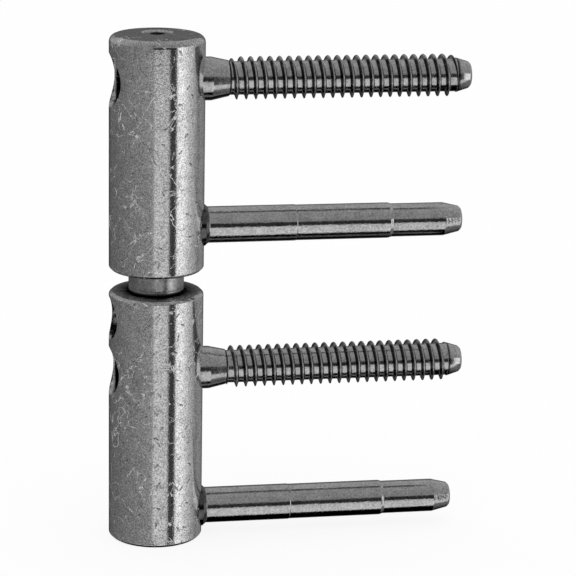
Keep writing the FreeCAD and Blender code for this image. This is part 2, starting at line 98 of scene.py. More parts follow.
# Zinc-plated free-cutting steel, barrel tumbled: satin grey and slightly mottled, with curled
# hair scratches and short cuts where the pieces knocked together. Sizes in millimetres; the grain
# of the plating is far finer and is drawn as coarse as it needs to show.
tumbledZinc = {
    "light": "#f6f6f6",
    "dark": "#999999",
    "cloud": 7.0,
    "mottle": 1.5,
    "grain": 0.28,
    "toneShares": (0.08, 0.17, 0.75),  # of the cloud, the mottle and the grain
    "toneSpread": (0.38, 0.62),
    "roughness": (0.07, 0.12),
    "grainSpread": (0.3, 0.7),
    "grainDepth": 0.012,
    "waveLength": 9.0,
    "waveDepth": 0.018,
    "scratch": "#ffffff",
    "hair": 4.5,
    "hairWidth": 0.012,  # as a share of the noise that draws them
    "hairPatch": 28 / 3,
    "hairPatchFrom": (0.47, 0.56),
    "scratchDepth": 0.05,
    "scratchRough": 0.36,
    "scratchMetal": 0.64,
    "cuts": ((38, 1.6, 0.19, 0.6), (-42, 1.3, 0.17, 0.6), (72, 1.1, 0.18, 0.5),
             (-14, 1.8, 0.17, 0.35)),  # degrees, length, width and the share that is kept
    "cutCell": (16, 8),  # widths and lengths from one cut to the next
    "cutEdge": (0.02, 0.065),
    "cutDepth": 0.17,
    "speck": "#3c3c3c",
    "speckSpacing": 3.2,
    "speckEdge": (0.03, 0.07),
    "speckLeftOut": 0.72,
    # painted shade: the tone of the holes' insides and of the knuckle's top face round the sleeve,
    # with where it lies
    "inside": "#343434",
    "holeShadeFrom": (9.3, 8.7),  # distances from the hinge axis
    "gapShadeFrom": (9.9, 5.4),
    "frameHoleShade": (0.7, 53.6),  # heights above the frame knuckle's foot
    "leafHoleShade": (59.9, 106.6),
    "gapShadeHeights": (53.8, 54.8),
    "heightScale": 120,
}


def makeTumbledZinc(name, look):
    material, tree = newTree(name)
    place = addNode(tree, "ShaderNodeTexCoord").outputs["Object"]
    cloud = addNode(tree, "ShaderNodeTexNoise", {
        "Vector": place, "Scale": 1 / (look["cloud"] * mm), "Detail": 4, "Roughness": 0.6})
    mottle = addNode(tree, "ShaderNodeTexNoise", {
        "Vector": place, "Scale": 1 / (look["mottle"] * mm), "Detail": 3, "Roughness": 0.6})
    grain = addNode(tree, "ShaderNodeTexNoise", {
        "Vector": place, "Scale": 1 / (look["grain"] * mm), "Detail": 2, "Roughness": 0.6})
    cloudPart, mottlePart, grainPart = look["toneShares"]
    cloudShare = addNode(tree, "ShaderNodeMath", {0: cloud.outputs["Fac"], 1: cloudPart},
                         operation="MULTIPLY")
    mottleShare = addNode(tree, "ShaderNodeMath", {
        0: mottle.outputs["Fac"], 1: mottlePart, 2: cloudShare.outputs[0]},
        operation="MULTIPLY_ADD")
    blend = addNode(tree, "ShaderNodeMath", {
        0: grain.outputs["Fac"], 1: grainPart, 2: mottleShare.outputs[0]},
        operation="MULTIPLY_ADD")
    spread = addNode(tree, "ShaderNodeMapRange", {
        "Value": blend.outputs[0], "From Min": look["toneSpread"][0],
        "From Max": look["toneSpread"][1]})
    tone = addNode(tree, "ShaderNodeMix", {
        "Factor": spread.outputs[0], 6: linear(look["dark"]), 7: linear(look["light"])},
        data_type="RGBA")

    # curled hair scratches: the middle level of a wavy noise, shown only in patches
    wavy = addNode(tree, "ShaderNodeTexNoise", {
        "Vector": place, "Scale": 1 / (look["hair"] * mm), "Detail": 5, "Roughness": 0.5,
        "Distortion": 0.6})
    offLevel = addNode(tree, "ShaderNodeMath", {0: wavy.outputs["Fac"], 1: 0.5},
                       operation="SUBTRACT")
    nearLevel = addNode(tree, "ShaderNodeMath", {0: offLevel.outputs[0]}, operation="ABSOLUTE")
    hair = addNode(tree, "ShaderNodeMapRange", {
        "Value": nearLevel.outputs[0], "From Min": 0.0, "From Max": look["hairWidth"],
        "To Min": 1.0, "To Max": 0.0})
    patchNoise = addNode(tree, "ShaderNodeTexNoise", {
        "Vector": place, "Scale": 1 / (look["hairPatch"] * mm), "Detail": 2})
    patch = addNode(tree, "ShaderNodeMapRange", {
        "Value": patchNoise.outputs["Fac"], "From Min": look["hairPatchFrom"][0],
        "From Max": look["hairPatchFrom"][1]})
    scratches = addNode(tree, "ShaderNodeMath", {0: hair.outputs[0], 1: patch.outputs[0]},
                        operation="MULTIPLY").outputs[0]
    scratched = addNode(tree, "ShaderNodeMix", {
        "Factor": scratches, 6: tone.outputs[2], 7: linear(look["scratch"])}, data_type="RGBA")

    # the barrel unrolled: distance round it from the seam, and height
    fromAxis = addNode(tree, "ShaderNodeVectorMath", {
        0: place, 1: (heights["hingeX"] * mm, 0, 0)}, operation="SUBTRACT")
    split = addNode(tree, "ShaderNodeSeparateXYZ", {0: fromAxis.outputs[0]})
    angle = addNode(tree, "ShaderNodeMath", {0: split.outputs["Y"], 1: split.outputs["X"]},
                    operation="ARCTAN2")
    alongSkin = addNode(tree, "ShaderNodeMath", {0: angle.outputs[0], 1: barrelRadius * mm},
                        operation="MULTIPLY")
    unrolled = addNode(tree, "ShaderNodeCombineXYZ", {
        "X": alongSkin.outputs[0], "Y": split.outputs["Z"]})

    # short straight cuts: long thin cells in several directions, many of them left out
    cuts = 0.0
    for turn, length, width, kept in look["cuts"]:
        across, along = look["cutCell"]
        lay = addNode(tree, "ShaderNodeMapping", {
            "Vector": unrolled.outputs[0], "Rotation": (0, 0, math.radians(turn)),
            "Scale": (width * across * mm, length * along * mm, 1)}, vector_type="TEXTURE")
        cell = addNode(tree, "ShaderNodeTexVoronoi", {
            "Vector": lay.outputs[0], "Scale": 1.0, "Randomness": 1.0}, voronoi_dimensions="2D")
        line = addNode(tree, "ShaderNodeMapRange", {
            "Value": cell.outputs["Distance"], "From Min": look["cutEdge"][0],
            "From Max": look["cutEdge"][1], "To Min": 1.0, "To Max": 0.0})
        pick = addNode(tree, "ShaderNodeSeparateColor", {"Color": cell.outputs["Color"]})
        stays = addNode(tree, "ShaderNodeMath", {0: pick.outputs[0], 1: kept},
                        operation="LESS_THAN")
        shown = addNode(tree, "ShaderNodeMath", {0: line.outputs[0], 1: stays.outputs[0]},
                        operation="MULTIPLY")
        cuts = addNode(tree, "ShaderNodeMath", {0: cuts, 1: shown.outputs[0]},
                       operation="MAXIMUM").outputs[0]

    # dark specks, a few tenths across, where the plating is bruised
    dots = addNode(tree, "ShaderNodeTexVoronoi", {
        "Vector": place, "Scale": 1 / (look["speckSpacing"] * mm), "Randomness": 1.0})
    dot = addNode(tree, "ShaderNodeMapRange", {
        "Value": dots.outputs["Distance"], "From Min": look["speckEdge"][0],
        "From Max": look["speckEdge"][1], "To Min": 1.0, "To Max": 0.0})
    dotPick = addNode(tree, "ShaderNodeSeparateColor", {"Color": dots.outputs["Color"]})
    dotKept = addNode(tree, "ShaderNodeMath", {
        0: dotPick.outputs[1], 1: look["speckLeftOut"]}, operation="GREATER_THAN")
    speck = addNode(tree, "ShaderNodeMath", {0: dot.outputs[0], 1: dotKept.outputs[0]},
                    operation="MULTIPLY")
    specked = addNode(tree, "ShaderNodeMix", {
        "Factor": speck.outputs[0], 6: scratched.outputs[2], 7: linear(look["speck"])},
        data_type="RGBA")

    # painted shade: the insides of the drilled holes, and the frame knuckle's top face round the
    # sleeve under the gap, are darkened and their reflection dimmed, told by the distance from the
    # axis and the height
    level = addNode(tree, "ShaderNodeVectorMath", {0: fromAxis.outputs[0], 1: (1, 1, 0)},
                    operation="MULTIPLY")
    off = addNode(tree, "ShaderNodeVectorMath", {0: level.outputs[0]}, operation="LENGTH")
    hole = addNode(tree, "ShaderNodeMapRange", {
        "Value": off.outputs["Value"], "From Min": look["holeShadeFrom"][0] * mm,
        "From Max": look["holeShadeFrom"][1] * mm})
    gapShade = addNode(tree, "ShaderNodeMapRange", {
        "Value": off.outputs["Value"], "From Min": look["gapShadeFrom"][0] * mm,
        "From Max": look["gapShadeFrom"][1] * mm})
    scale = look["heightScale"]
    share = addNode(tree, "ShaderNodeMapRange", {
        "Value": split.outputs["Z"], "From Min": heights["frameFoot"] * mm,
        "From Max": (heights["frameFoot"] + scale) * mm})
    holeShadeFoot, holeShadeTop = (h / scale for h in look["frameHoleShade"])
    leafFoot, leafTop = (h / scale for h in look["leafHoleShade"])
    gapShadeFoot, gapShadeTop = (h / scale for h in look["gapShadeHeights"])
    holeShadeZone = addNode(tree, "ShaderNodeValToRGB", {"Fac": share.outputs[0]})
    setRamp(holeShadeZone, [(0, 0), (holeShadeFoot, 1), (holeShadeTop, 0), (leafFoot, 1), (leafTop, 0)],
            "CONSTANT")
    gapShadeZone = addNode(tree, "ShaderNodeValToRGB", {"Fac": share.outputs[0]})
    setRamp(gapShadeZone, [(0, 0), (gapShadeFoot, 1), (gapShadeTop, 0)], "CONSTANT")
    holeShadeHere = addNode(tree, "ShaderNodeMath", {0: hole.outputs[0], 1: holeShadeZone.outputs["Color"]},
                       operation="MULTIPLY")
    paintedShade = addNode(tree, "ShaderNodeMath", {
        0: gapShade.outputs[0], 1: gapShadeZone.outputs["Color"], 2: holeShadeHere.outputs[0]},
        operation="MULTIPLY_ADD")
    colour = addNode(tree, "ShaderNodeMix", {
        "Factor": paintedShade.outputs[0], 6: specked.outputs[2], 7: linear(look["inside"])},
        data_type="RGBA")
    shadedTint = addNode(tree, "ShaderNodeMix", {
        "Factor": paintedShade.outputs[0], 6: (1, 1, 1, 1), 7: linear(look["inside"])}, data_type="RGBA")

    smoothPart = addNode(tree, "ShaderNodeMapRange", {
        "Value": grain.outputs["Fac"], "From Min": look["grainSpread"][0],
        "From Max": look["grainSpread"][1], "To Min": look["roughness"][0],
        "To Max": look["roughness"][1]})
    rough = addNode(tree, "ShaderNodeMapRange", {
        "Value": scratches, "To Min": smoothPart.outputs[0], "To Max": look["scratchRough"]})
    metal = addNode(tree, "ShaderNodeMapRange", {
        "Value": scratches, "To Min": 1.0, "To Max": look["scratchMetal"]})
    wave = addNode(tree, "ShaderNodeTexNoise", {
        "Vector": place, "Scale": 1 / (look["waveLength"] * mm), "Detail": 1})
    waveBump = addNode(tree, "ShaderNodeBump", {
        "Height": wave.outputs["Fac"], "Distance": look["waveDepth"] * mm, "Strength": 1.0})
    grainBump = addNode(tree, "ShaderNodeBump", {
        "Height": grain.outputs["Fac"], "Distance": look["grainDepth"] * mm, "Strength": 1.0,
        "Normal": waveBump.outputs[0]})
    hairBump = addNode(tree, "ShaderNodeBump", {
        "Height": scratches, "Distance": look["scratchDepth"] * mm, "Strength": 1.0,
        "Normal": grainBump.outputs[0]}, invert=True)
    cutBump = addNode(tree, "ShaderNodeBump", {
        "Height": cuts, "Distance": look["cutDepth"] * mm, "Strength": 1.0,
        "Normal": hairBump.outputs[0]}, invert=True)
    shader = addNode(tree, "ShaderNodeBsdfPrincipled", {
        "Base Color": colour.outputs[2], "Metallic": metal.outputs[0],
        "Specular Tint": shadedTint.outputs[2], "Roughness": rough.outputs[0],
        "Normal": cutBump.outputs[0]})
    addNode(tree, "ShaderNodeOutputMaterial", {"Surface": shader.outputs[0]})
    return material


# Turned, drawn, rolled and ground steel. The lay gives the spacing of the tool marks along x, y
# and z in millimetres: rings on turned pieces, lengthwise lines on drawn bar. The ring shade is
# painted shade: levels over the distance from the stem's own axis, beyond the station given for
# it.
drawnPinZinc = {
    "light": "#e6e6e6",
    "dark": "#a8a8a8",
    "lay": (9.0, 0.5, 0.5),
    "blotch": 2.6,
    "grain": 0.45,
    "roughness": (0.08, 0.17),
    "layDepth": 0.006,
    "blotchDepth": 0.030,
    "grainDepth": 0.022,
    "axes": (0.0, 62.55),
    # painted shade: the collar next to the knuckle, where its shadow falls, is darkened
    "ringShade": ((0.0, 1.0), (3.87, 1.0), (3.95, 0.22), (5.0, 0.22)),
    "ringShadeFrom": -10.0,
}
rolledThreadZinc = {
    "light": "#e6e6e6",
    "dark": "#a0a0a0",
    "lay": (0.7, 3.0, 3.0),
    "blotch": 1.4,
    "grain": 0.4,
    "roughness": (0.10, 0.22),
    "layDepth": 0.006,
    "blotchDepth": 0.014,
    "grainDepth": 0.016,
    "axes": (31.2, 93.75),
    # painted shade: the thread's flanks are darkened, its crests a little
    "ringShade": ((0.0, 1.0), (3.5, 1.0), (3.6, 0.16), (4.05, 0.2), (4.3, 0.8), (5.0, 0.8)),
    "ringShadeFrom": 3.9,
}
groundPinSteel = {
    "light": "#cdcdcd",
    "dark": "#b4b4b4",
    "lay": (4.0, 4.0, 0.35),
    "blotch": 5.0,
    "grain": 0.5,
    "roughness": (0.08, 0.14),
    "layDepth": 0.002,
    "blotchDepth": 0.004,
    "grainDepth": 0.001,
}
turnedSleeveSteel = {
    "light": "#c4c4c4",
    "dark": "#7c7c7c",
    "lay": (6.0, 6.0, 0.28),
    "blotch": 2.0,
    "grain": 0.4,
    "roughness": (0.20, 0.32),
    "layDepth": 0.010,
    "blotchDepth": 0.010,
    "grainDepth": 0.014,
}
lockScrewZinc = {
    "light": "#cfcfcf",
    "dark": "#8a8a8a",
    "lay": (0.6, 0.6, 0.6),
    "blotch": 1.5,
    "grain": 0.4,
    "roughness": (0.14, 0.26),
    "layDepth": 0.006,
    "blotchDepth": 0.012,
    "grainDepth": 0.010,
}


# What these steels have in common: the tone's shares of lay, blotch and grain, how narrow a span
# of the noises is used, and how far the painted ring shade reaches in millimetres.
workedSteel = {
    "toneShares": (0.25, 0.25, 0.5),
    "toneSpread": (0.36, 0.62),
    "laySpread": (0.3, 0.7),
    "ringShadeReach": 5.0,
}


def makeWorkedSteel(name, look):
    material, tree = newTree(name)
    place = addNode(tree, "ShaderNodeTexCoord").outputs["Object"]
    stretched = addNode(tree, "ShaderNodeMapping", {
        "Vector": place, "Scale": tuple(1 / (size * mm) for size in look["lay"])})
    lay = addNode(tree, "ShaderNodeTexNoise", {
        "Vector": stretched.outputs[0], "Scale": 1.0, "Detail": 4, "Roughness": 0.65})
    blotch = addNode(tree, "ShaderNodeTexNoise", {
        "Vector": place, "Scale": 1 / (look["blotch"] * mm), "Detail": 4, "Roughness": 0.6})
    grain = addNode(tree, "ShaderNodeTexNoise", {
        "Vector": place, "Scale": 1 / (look["grain"] * mm), "Detail": 2, "Roughness": 0.6})
    layPart, blotchPart, grainPart = workedSteel["toneShares"]
    layShare = addNode(tree, "ShaderNodeMath", {0: lay.outputs["Fac"], 1: layPart},
                       operation="MULTIPLY")
    blotchShare = addNode(tree, "ShaderNodeMath", {
        0: blotch.outputs["Fac"], 1: blotchPart, 2: layShare.outputs[0]},
        operation="MULTIPLY_ADD")
    blend = addNode(tree, "ShaderNodeMath", {
        0: grain.outputs["Fac"], 1: grainPart, 2: blotchShare.outputs[0]},
        operation="MULTIPLY_ADD")
    spread = addNode(tree, "ShaderNodeMapRange", {
        "Value": blend.outputs[0], "From Min": workedSteel["toneSpread"][0],
        "From Max": workedSteel["toneSpread"][1]})
    tone = addNode(tree, "ShaderNodeMix", {
        "Factor": spread.outputs[0], 6: linear(look["dark"]), 7: linear(look["light"])},
        data_type="RGBA").outputs[2]
    if "ringShade" in look:
        # painted shade: the thread's flanks and the pins' collars are darkened by their distance
        # from the stem's axis
        low, high = look["axes"]
        reach = workedSteel["ringShadeReach"]
        split = addNode(tree, "ShaderNodeSeparateXYZ", {0: place})
        upper = addNode(tree, "ShaderNodeMath", {
            0: split.outputs["Z"], 1: (low + high) / 2 * mm}, operation="GREATER_THAN")
        axisUp = addNode(tree, "ShaderNodeMapRange", {
            "Value": upper.outputs[0], "To Min": low * mm, "To Max": high * mm})
        aside = addNode(tree, "ShaderNodeMath", {0: split.outputs["Z"], 1: axisUp.outputs[0]},
                        operation="SUBTRACT")
        across = addNode(tree, "ShaderNodeCombineXYZ", {
            "X": split.outputs["Y"], "Y": aside.outputs[0]})
        off = addNode(tree, "ShaderNodeVectorMath", {0: across.outputs[0]}, operation="LENGTH")
        share = addNode(tree, "ShaderNodeMath", {0: off.outputs["Value"], 1: 1 / (reach * mm)},
                        operation="MULTIPLY")
        ringShade = addNode(tree, "ShaderNodeValToRGB", {"Fac": share.outputs[0]})
        setRamp(ringShade, [(radius / reach, level) for radius, level in look["ringShade"]])
        beyond = addNode(tree, "ShaderNodeMath", {
            0: split.outputs["X"], 1: look["ringShadeFrom"] * mm}, operation="GREATER_THAN")
        tone = addNode(tree, "ShaderNodeMix", {
            "Factor": beyond.outputs[0], 6: tone, 7: ringShade.outputs["Color"]},
            data_type="RGBA", blend_type="MULTIPLY").outputs[2]
    rough = addNode(tree, "ShaderNodeMapRange", {
        "Value": lay.outputs["Fac"], "From Min": workedSteel["laySpread"][0],
        "From Max": workedSteel["laySpread"][1], "To Min": look["roughness"][0],
        "To Max": look["roughness"][1]})
    layBump = addNode(tree, "ShaderNodeBump", {
        "Height": lay.outputs["Fac"], "Distance": look["layDepth"] * mm, "Strength": 1.0})
    blotchBump = addNode(tree, "ShaderNodeBump", {
        "Height": blotch.outputs["Fac"], "Distance": look["blotchDepth"] * mm, "Strength": 1.0,
        "Normal": layBump.outputs[0]})
    grainBump = addNode(tree, "ShaderNodeBump", {
        "Height": grain.outputs["Fac"], "Distance": look["grainDepth"] * mm, "Strength": 1.0,
        "Normal": blotchBump.outputs[0]})
    shader = addNode(tree, "ShaderNodeBsdfPrincipled", {
        "Base Color": tone, "Metallic": 1.0, "Roughness": rough.outputs[0],
        "Normal": grainBump.outputs[0]})
    addNode(tree, "ShaderNodeOutputMaterial", {"Surface": shader.outputs[0]})
    return material


knuckleSteel = makeTumbledZinc("tumbledZincPlatedSteel", tumbledZinc)
guidePinSteel = makeWorkedSteel("drawnZincPlatedSteel", drawnPinZinc)
threadSteel = makeWorkedSteel("rolledZincPlatedSteel", rolledThreadZinc)
hingePinSteel = makeWorkedSteel("groundPinSteel", groundPinSteel)
sleeveSteel = makeWorkedSteel("turnedSleeveSteel", turnedSleeveSteel)
lockSteel = makeWorkedSteel("zincPlatedSetScrewSteel", lockScrewZinc)


# Steps round a shape, widths of the broken edges in millimetres, and angles in degrees.
shaping = {
    "barrelSteps": 256,
    "shaftSteps": 128,
    "holeSteps": 96,
    "barrelEdge": 0.12,
    "mouthEdge": 0.15,
    "softenFrom": 18,
    "sharpFrom": 32,
    "cutPast": 1.0,
}


def spinProfile(points, steps, closed=False):
    # (station, radius) pairs taken right round the X axis
    bm = bmesh.new()
    corners = [bm.verts.new((along, 0, radius)) for along, radius in points]
    for corner, following in zip(corners, corners[1:]):
        bm.edges.new((corner, following))
    if closed:
        bm.edges.new((corners[-1], corners[0]))
    bmesh.ops.spin(bm, geom=bm.verts[:] + bm.edges[:], cent=(0, 0, 0), axis=(1, 0, 0),
                   angle=2 * math.pi, steps=steps, use_merge=True)
    bmesh.ops.remove_doubles(bm, verts=bm.verts[:], dist=0.0005)
    bmesh.ops.recalc_face_normals(bm, faces=bm.faces[:])
    return bm


def softenEdges(bm, width, sharper=shaping["softenFrom"]):
    # rounds the edges where two faces meet at more than that many degrees
    limit = math.radians(sharper)
    edges = [e for e in bm.edges if len(e.link_faces) == 2 and e.calc_face_angle(0) > limit]
    bmesh.ops.bevel(bm, geom=edges, offset=width, offset_type="OFFSET", segments=2, profile=0.5,
                    affect="EDGES", clamp_overlap=True, material=-1)


def standUp(bm):
    # from along X to along Z
    bmesh.ops.rotate(bm, verts=bm.verts[:], cent=(0, 0, 0),
                     matrix=Matrix.Rotation(-math.pi / 2, 3, "Y"))


def lift(bm, up):
    bmesh.ops.translate(bm, verts=bm.verts[:], vec=(0, 0, up))


def meshObject(bm, name):
    mesh = bpy.data.meshes.new(name)
    bm.to_mesh(mesh)
    bm.free()
    thing = bpy.data.objects.new(name, mesh)
    bpy.context.scene.collection.objects.link(thing)
    return thing


def bakeModifiers(piece):
    # the mesh as its modifiers leave it
    graph = bpy.context.evaluated_depsgraph_get()
    baked = bpy.data.meshes.new_from_object(piece.evaluated_get(graph))
    piece.modifiers.clear()
    old = piece.data
    piece.data = baked
    bpy.data.meshes.remove(old)


def drill(piece, bm):
    # takes the cutter's shape out of the piece
    cutter = meshObject(bm, "cutter")
    hole = piece.modifiers.new("hole", "BOOLEAN")
    hole.operation = "DIFFERENCE"
    hole.solver = "EXACT"
    hole.object = cutter
    bakeModifiers(piece)
    bpy.data.objects.remove(cutter)


def hexCutter(acrossFlats, depth, face):
    # a hexagonal bar along X that goes that deep from the face and stands out before it
    corner, past = acrossFlats / math.sqrt(3), 2 * shaping["cutPast"]
    bm = bmesh.new()
    bmesh.ops.create_cone(bm, cap_ends=True, segments=6, radius1=corner, radius2=corner,
                          depth=depth + past)
    bmesh.ops.rotate(bm, verts=bm.verts[:], cent=(0, 0, 0),
                     matrix=Matrix.Rotation(math.pi / 2, 3, "Y"))
    bmesh.ops.translate(bm, verts=bm.verts[:], vec=(face + (depth - past) / 2, 0, 0))
    return bm


def finishPiece(piece, height, material, body, node):
    # millimetres to metres, at its height on the hinge axis, smooth but for its edges
    mesh = piece.data
    place = Matrix.Translation((heights["hingeX"], 0, heights[height]))
    mesh.transform(Matrix.Scale(mm, 4) @ place)
    mesh.polygons.foreach_set("use_smooth", [True] * len(mesh.polygons))
    mesh.set_sharp_from_angle(angle=math.radians(shaping["sharpFrom"]))
    mesh.materials.clear()
    mesh.materials.append(material)
    # the wide faces rule the shading, so that the narrow bevels don't bend it
    weighted = piece.modifiers.new("weighted", "WEIGHTED_NORMAL")
    weighted.keep_sharp = True
    bakeModifiers(piece)
    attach(piece, body)
    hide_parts(node)


print("knuckles")

# Stations across from the hinge axis, out to the stems' side; heights from the knuckle's own foot.
frameKnuckle = {
    "length": 54.4,
    "rim": 0.6,
    "stemUp": 37.0,
    "stemHole": 4.6,
    "keyMouth": 5.3,
    "mouthLand": 0.1,
    "leadIn": 0.4,
    "pinUp": 5.8,
    "seatHole": 4.02,
    "seatFloor": 42.78,
    "dogHole": 1.52,
    "lockUp": 48.6,
    "lockHole": 4.02,
    "lockMouth": 4.7,
    "lockMouthFloor": -7.6,
}
leafKnuckle = {
    "length": 48.2,
    "rim": 0.6,
    "crownEdge": 1.5,
    "crownTop": 50.43,
    "crownFall": 0.26,  # from the middle of the crown to the rim of the lock screw's hole
    "stemUp": 40.35,
    "stemHole": 4.6,
    "keyMouth": 5.7,
    "mouthLand": 0.1,
    "leadIn": 0.4,
    "pinUp": 9.15,
    "bore": 5.05,
    "boreLeadIn": 0.3,
    "boreEnd": 33.6,
    "lockHole": 3.02,
}
guideSeat = {
    "floor": 5.28,
    "spigotHole": 3.27,
    "ledge": 8.7,
    "collarHole": 4.52,
    "out": 10.8,
}


def stemHoleCutter(size):
    # wider at the key's side, countersunk at the stem's side
    hole, mouth, lead, past = (size["stemHole"], size["keyMouth"], size["leadIn"],
                               shaping["cutPast"])
    floor = size["mouthLand"] - math.sqrt(barrelRadius ** 2 - mouth ** 2)
    bm = spinProfile([
        (-barrelRadius - past, 0),
        (-barrelRadius - past, mouth),
        (floor, mouth),
        (floor, hole),
        (barrelRadius - lead, hole),
        (barrelRadius + past, hole + lead + past),
        (barrelRadius + past, 0)], shaping["holeSteps"])
    softenEdges(bm, shaping["mouthEdge"])
    lift(bm, size["stemUp"])
    return bm


def guideSeatCutter(size, up):
    bm = spinProfile([
        (size["floor"], 0),
        (size["floor"], size["spigotHole"]),
        (size["ledge"], size["spigotHole"]),
        (size["ledge"], size["collarHole"]),
        (size["out"], size["collarHole"]),
        (size["out"], 0)], shaping["holeSteps"])
    lift(bm, up)
    return bm


def makeFrameKnuckle(size):
    top, rim, past = size["length"], size["rim"], shaping["cutPast"]
    bm = spinProfile([
        (0, 0),
        (0, barrelRadius - rim),
        (rim, barrelRadius),
        (top - rim, barrelRadius),
        (top, barrelRadius - rim),
        (top, 0)], shaping["barrelSteps"])
    softenEdges(bm, shaping["barrelEdge"])
    standUp(bm)
    piece = meshObject(bm, "frameKnuckle")
    drill(piece, stemHoleCutter(size))
    drill(piece, guideSeatCutter(guideSeat, size["pinUp"]))
    seat = spinProfile([
        (size["stemUp"], 0),
        (size["stemUp"], size["dogHole"]),
        (size["seatFloor"], size["dogHole"]),
        (size["seatFloor"], size["seatHole"]),
        (top + past, size["seatHole"]),
        (top + past, 0)], shaping["holeSteps"])
    standUp(seat)
    drill(piece, seat)
    lockHole = spinProfile([
        (-barrelRadius - past, 0),
        (-barrelRadius - past, size["lockMouth"]),
        (size["lockMouthFloor"], size["lockMouth"]),
        (size["lockMouthFloor"], size["lockHole"]),
        (0, size["lockHole"]),
        (0, 0)], shaping["holeSteps"])
    softenEdges(lockHole, shaping["barrelEdge"])
    lift(lockHole, size["lockUp"])
    drill(piece, lockHole)
    return piece


def makeLeafKnuckle(size):
    top, rim, edge, past = size["length"], size["rim"], size["crownEdge"], shaping["cutPast"]
    corner = [(top + edge * math.sin(a), barrelRadius - edge + edge * math.cos(a))
              for a in (math.radians(15 * step) for step in range(7))]
    bm = spinProfile([
        (0, 0),
        (0, barrelRadius - rim),
        (rim, barrelRadius),
        *corner,
        (size["crownTop"], 0)], shaping["barrelSteps"])
    softenEdges(bm, shaping["barrelEdge"])
    standUp(bm)
    piece = meshObject(bm, "leafKnuckle")
    drill(piece, stemHoleCutter(size))
    drill(piece, guideSeatCutter(guideSeat, size["pinUp"]))
    bore = spinProfile([
        (-past, 0),
        (-past, size["bore"] + size["boreLeadIn"] + past),
        (size["boreLeadIn"], size["bore"]),
        (size["boreEnd"], size["bore"]),
        (size["boreEnd"], 0)], shaping["shaftSteps"])
    standUp(bore)
    drill(piece, bore)
    hole, lead, mouth = size["lockHole"], size["leadIn"], size["crownTop"] - size["crownFall"]
    lockHole = spinProfile([
        (size["stemUp"], 0),
        (size["stemUp"], hole),
        (mouth - lead, hole),
        (mouth + past, hole + lead + past),
        (mouth + past, 0)], shaping["holeSteps"])
    standUp(lockHole)
    drill(piece, lockHole)
    return piece


finishPiece(makeFrameKnuckle(frameKnuckle), "frameFoot", knuckleSteel,
            "frame_part", "frame_knuckle")
finishPiece(makeLeafKnuckle(leafKnuckle), "leafFoot", knuckleSteel,
            "leaf_part", "leaf_knuckle")

print("guide pins")

# Stations from the hinge axis along the stem, radii from the stem's own axis.
guidePin = {
    "spigotEnd": 5.3,
    "spigotR": 3.25,
    "back": 8.72,
    "front": 10.8,
    "collarR": 4.5,
    "flare": 0.75,
    "rootR": 3.85,
    "midR": 3.775,
    "tipR": 3.55,
    "pointR": 2.75,
    "stepLength": 0.7,
    "coneLength": 3.9,
    "corner": 0.5,
    "ringMark": (-0.1, 0.05),
    "edge": 0.08,
    "softenFrom": 8,
}
guidePinStations = {
    "frameGuidePin": {"shoulder": 29.1, "step": 49.25, "reach": 64.95},
    "leafGuidePin": {"shoulder": 29.5, "step": 49.55, "reach": 65.45},
}


def makeGuidePin(name, size, stations):
    shoulder, step, reach = stations["shoulder"], stations["step"], stations["reach"]
    markFrom, markTo = size["ringMark"]
    bm = spinProfile([
        (size["spigotEnd"], 0),
        (size["spigotEnd"], size["spigotR"]),
        (size["back"], size["spigotR"]),
        (size["back"], size["collarR"]),
        (size["front"] - size["flare"], size["collarR"]),
        (size["front"], size["rootR"]),
        (shoulder + markFrom, size["rootR"]),
        (shoulder + markTo, size["midR"]),
        (step, size["midR"]),
        (step + size["stepLength"], size["tipR"]),
        (reach - size["coneLength"], size["tipR"]),
        (reach - size["corner"], size["pointR"]),
        (reach, size["pointR"] - size["corner"]),
        (reach, 0)], shaping["shaftSteps"])
    softenEdges(bm, size["edge"], size["softenFrom"])
    return meshObject(bm, name)


finishPiece(makeGuidePin("frameGuidePin", guidePin, guidePinStations["frameGuidePin"]),
            "framePin", guidePinSteel, "frame_part", "frame_guide_pin")
finishPiece(makeGuidePin("leafGuidePin", guidePin, guidePinStations["leafGuidePin"]),
            "leafPin", guidePinSteel, "leaf_part", "leaf_guide_pin")

print("screw stems")

screwStem = {
    "tail": -5.0,
    "tailEdge": 0.4,
    "shankR": 4.55,
    "grooveHalf": 1.65,
    "grooveR": 3.2,
    "coneAt": 11.2,
    "neckAt": 14.85,
    "neckR": 3.75,
    "coreAt": 15.1,
    "coreR": 3.475,
    "crestR": 4.5,
    "ridgeAt": 14.56,
    "pitch": 2.042,
    "turns": 24,
    "fade": 0.714,
    "ridgeHalf": 0.475,
    "ridgeFoot": ((0.16, -0.06), (0.04, 0.03), (-0.1, 0.2)),  # past its half width, over the core
    "ridgeCrest": ((0.16, -0.2), (0.1, -0.06)),  # from its middle, over the crest
    "tipAt": 63.25,
    "tipStep": 0.1,
    "tipRootR": 3.65,
    "tipLength": 3.2,
    "tipR": 2.85,
    "tipCorner": 0.5,
    "keySize": 5.0,
    "keyDepth": 4.0,
    "stepsPerTurn": 72,
    "edge": 0.1,
    "softenFrom": 10,
}
# How far each stem stands turned, in degrees.
stemTurns = {"frameScrewStem": 140, "leafScrewStem": 270}


